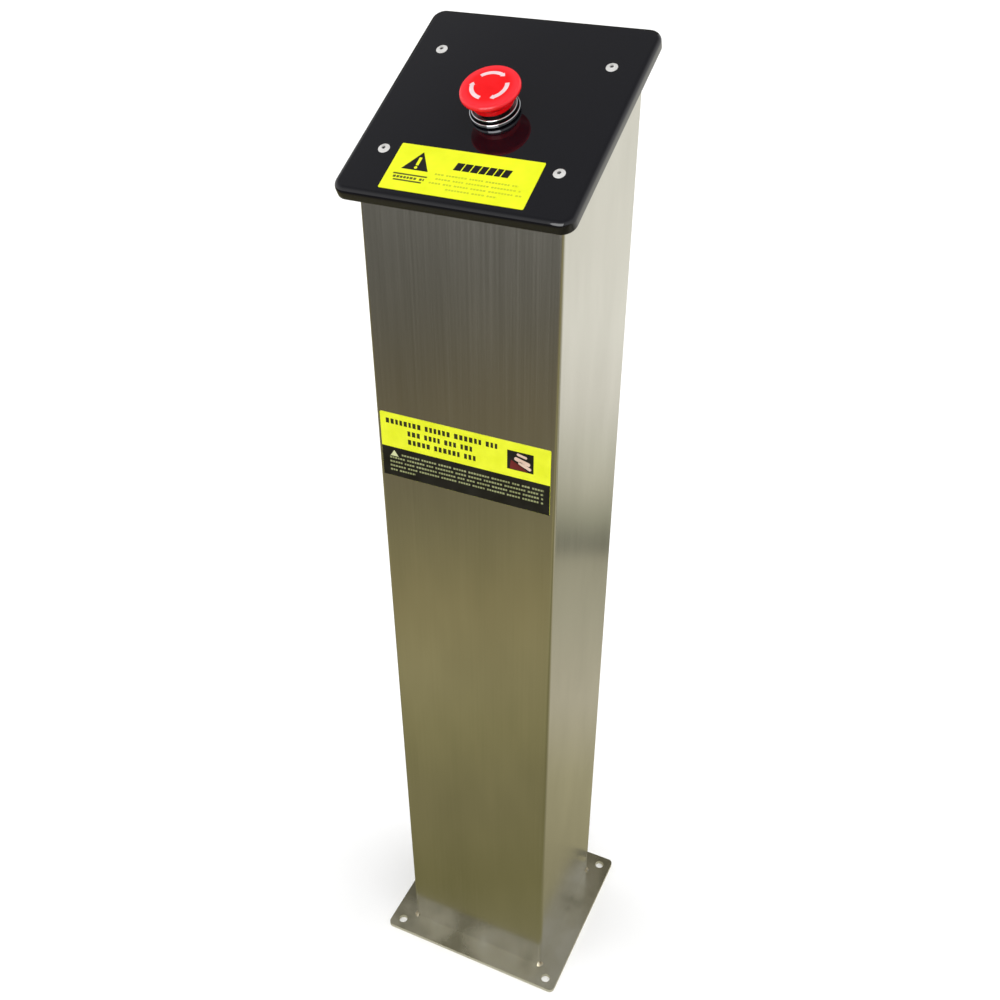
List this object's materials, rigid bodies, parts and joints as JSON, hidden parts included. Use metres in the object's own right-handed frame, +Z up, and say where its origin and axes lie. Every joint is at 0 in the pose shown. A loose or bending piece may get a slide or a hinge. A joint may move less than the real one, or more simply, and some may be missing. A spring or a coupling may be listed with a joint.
{
  "type": "emergency stop button",
  "caption": "Floor-standing emergency stop station: red mushroom button with latch and contact blocks in a tilted black panel on a stainless column with a bolted foot.",
  "frame": {"origin": "on the floor at the centre of the base plate", "axes": "+Z up the column, -Y towards the person who presses the button, +X to that person's right"},
  "size_m": [0.19, 0.176, 0.8695],
  "materials": {
    "stainless_plate": "hot-rolled plate, dull",
    "brushed_stainless": "fine vertical grain, clear reflections",
    "weld_metal": "as welded",
    "zinc_steel": "zinc plated",
    "black_foam": "closed-cell foam",
    "black_acrylic": "polished",
    "stainless_screw": "bright",
    "yellow_vinyl": "printed film",
    "black_rubber": "moulded",
    "brass": "plain",
    "chrome": "polished",
    "die_cast": "die cast",
    "black_nylon": "moulded",
    "red_plastic": "moulded, glossy",
    "white_plastic": "moulded inlay",
    "spring_steel": "wire",
    "natural_acetal": "moulded",
    "grey_nylon": "moulded",
    "red_acetal": "moulded",
    "green_acetal": "moulded"
  },
  "bodies": {
    "pedestal": {"base_plate": "stainless_plate", "column": "brushed_stainless", "seam_weld": "weld_metal", "foot_welds": "weld_metal", "weld_nuts": "zinc_steel", "panel_gasket": "black_foam", "panel": "black_acrylic", "panel_screws": "stainless_screw", "panel_label": "yellow_vinyl", "column_label": "yellow_vinyl", "cable_bush": "black_rubber", "earth_stud": "zinc_steel", "earth_washer": "brass", "earth_nut": "brass", "operator_seal": "black_rubber", "bezel": "chrome", "operator_barrel": "die_cast", "shaft_seal": "black_rubber", "anti_turn_washer": "zinc_steel", "lock_nut": "black_nylon", "mounting_collar": "die_cast", "collar_screws": "zinc_steel", "return_spring": "spring_steel", "nc_housing": "grey_nylon", "nc_contacts": "brass", "nc_spring": "spring_steel", "no_housing": "grey_nylon", "no_contacts": "brass", "no_spring": "spring_steel", "terminal_screws": "zinc_steel", "block_screws": "zinc_steel"},
    "plunger": {"latch_sleeve": "natural_acetal", "latch_balls": "stainless_screw", "push_rod": "natural_acetal", "pusher_plate": "natural_acetal"},
    "head": {"button_head": "red_plastic", "arrow_inlays": "white_plastic", "stem": "zinc_steel", "retaining_clip": "zinc_steel", "torsion_spring": "spring_steel"},
    "nc_slider": {"nc_carriage": "red_acetal", "nc_bridge": "brass"},
    "no_slider": {"no_carriage": "green_acetal", "no_bridge": "brass"}
  },
  "joints": [
    {"name": "button_press", "type": "slide", "parent": "pedestal", "child": "plunger", "axis": [0, 0.454, -0.891], "range_m": [0, 0.005], "stiffness_N_per_m": 2500, "springref_m": -0.006, "deforming": ["return_spring"]},
    {"name": "twist_release", "type": "hinge", "parent": "plunger", "child": "head", "pos_m": [0, -0.00992, 0.82931], "axis": [0, 0.454, -0.891], "range_deg": [0, 40], "stiffness_Nm_per_rad": 0.05, "springref_deg": -17.19, "deforming": ["torsion_spring"]},
    {"name": "nc_travel", "type": "slide", "parent": "pedestal", "child": "nc_slider", "axis": [0, 0.454, -0.891], "range_m": [0, 0.005], "deforming": ["nc_spring"]},
    {"name": "no_travel", "type": "slide", "parent": "pedestal", "child": "no_slider", "axis": [0, 0.454, -0.891], "range_m": [0, 0.005], "deforming": ["no_spring"]}
  ],
  "couplings": [
    {"joint": "nc_travel", "follows": "button_press", "ratio": 1},
    {"joint": "no_travel", "follows": "button_press", "ratio": 1}
  ]
}
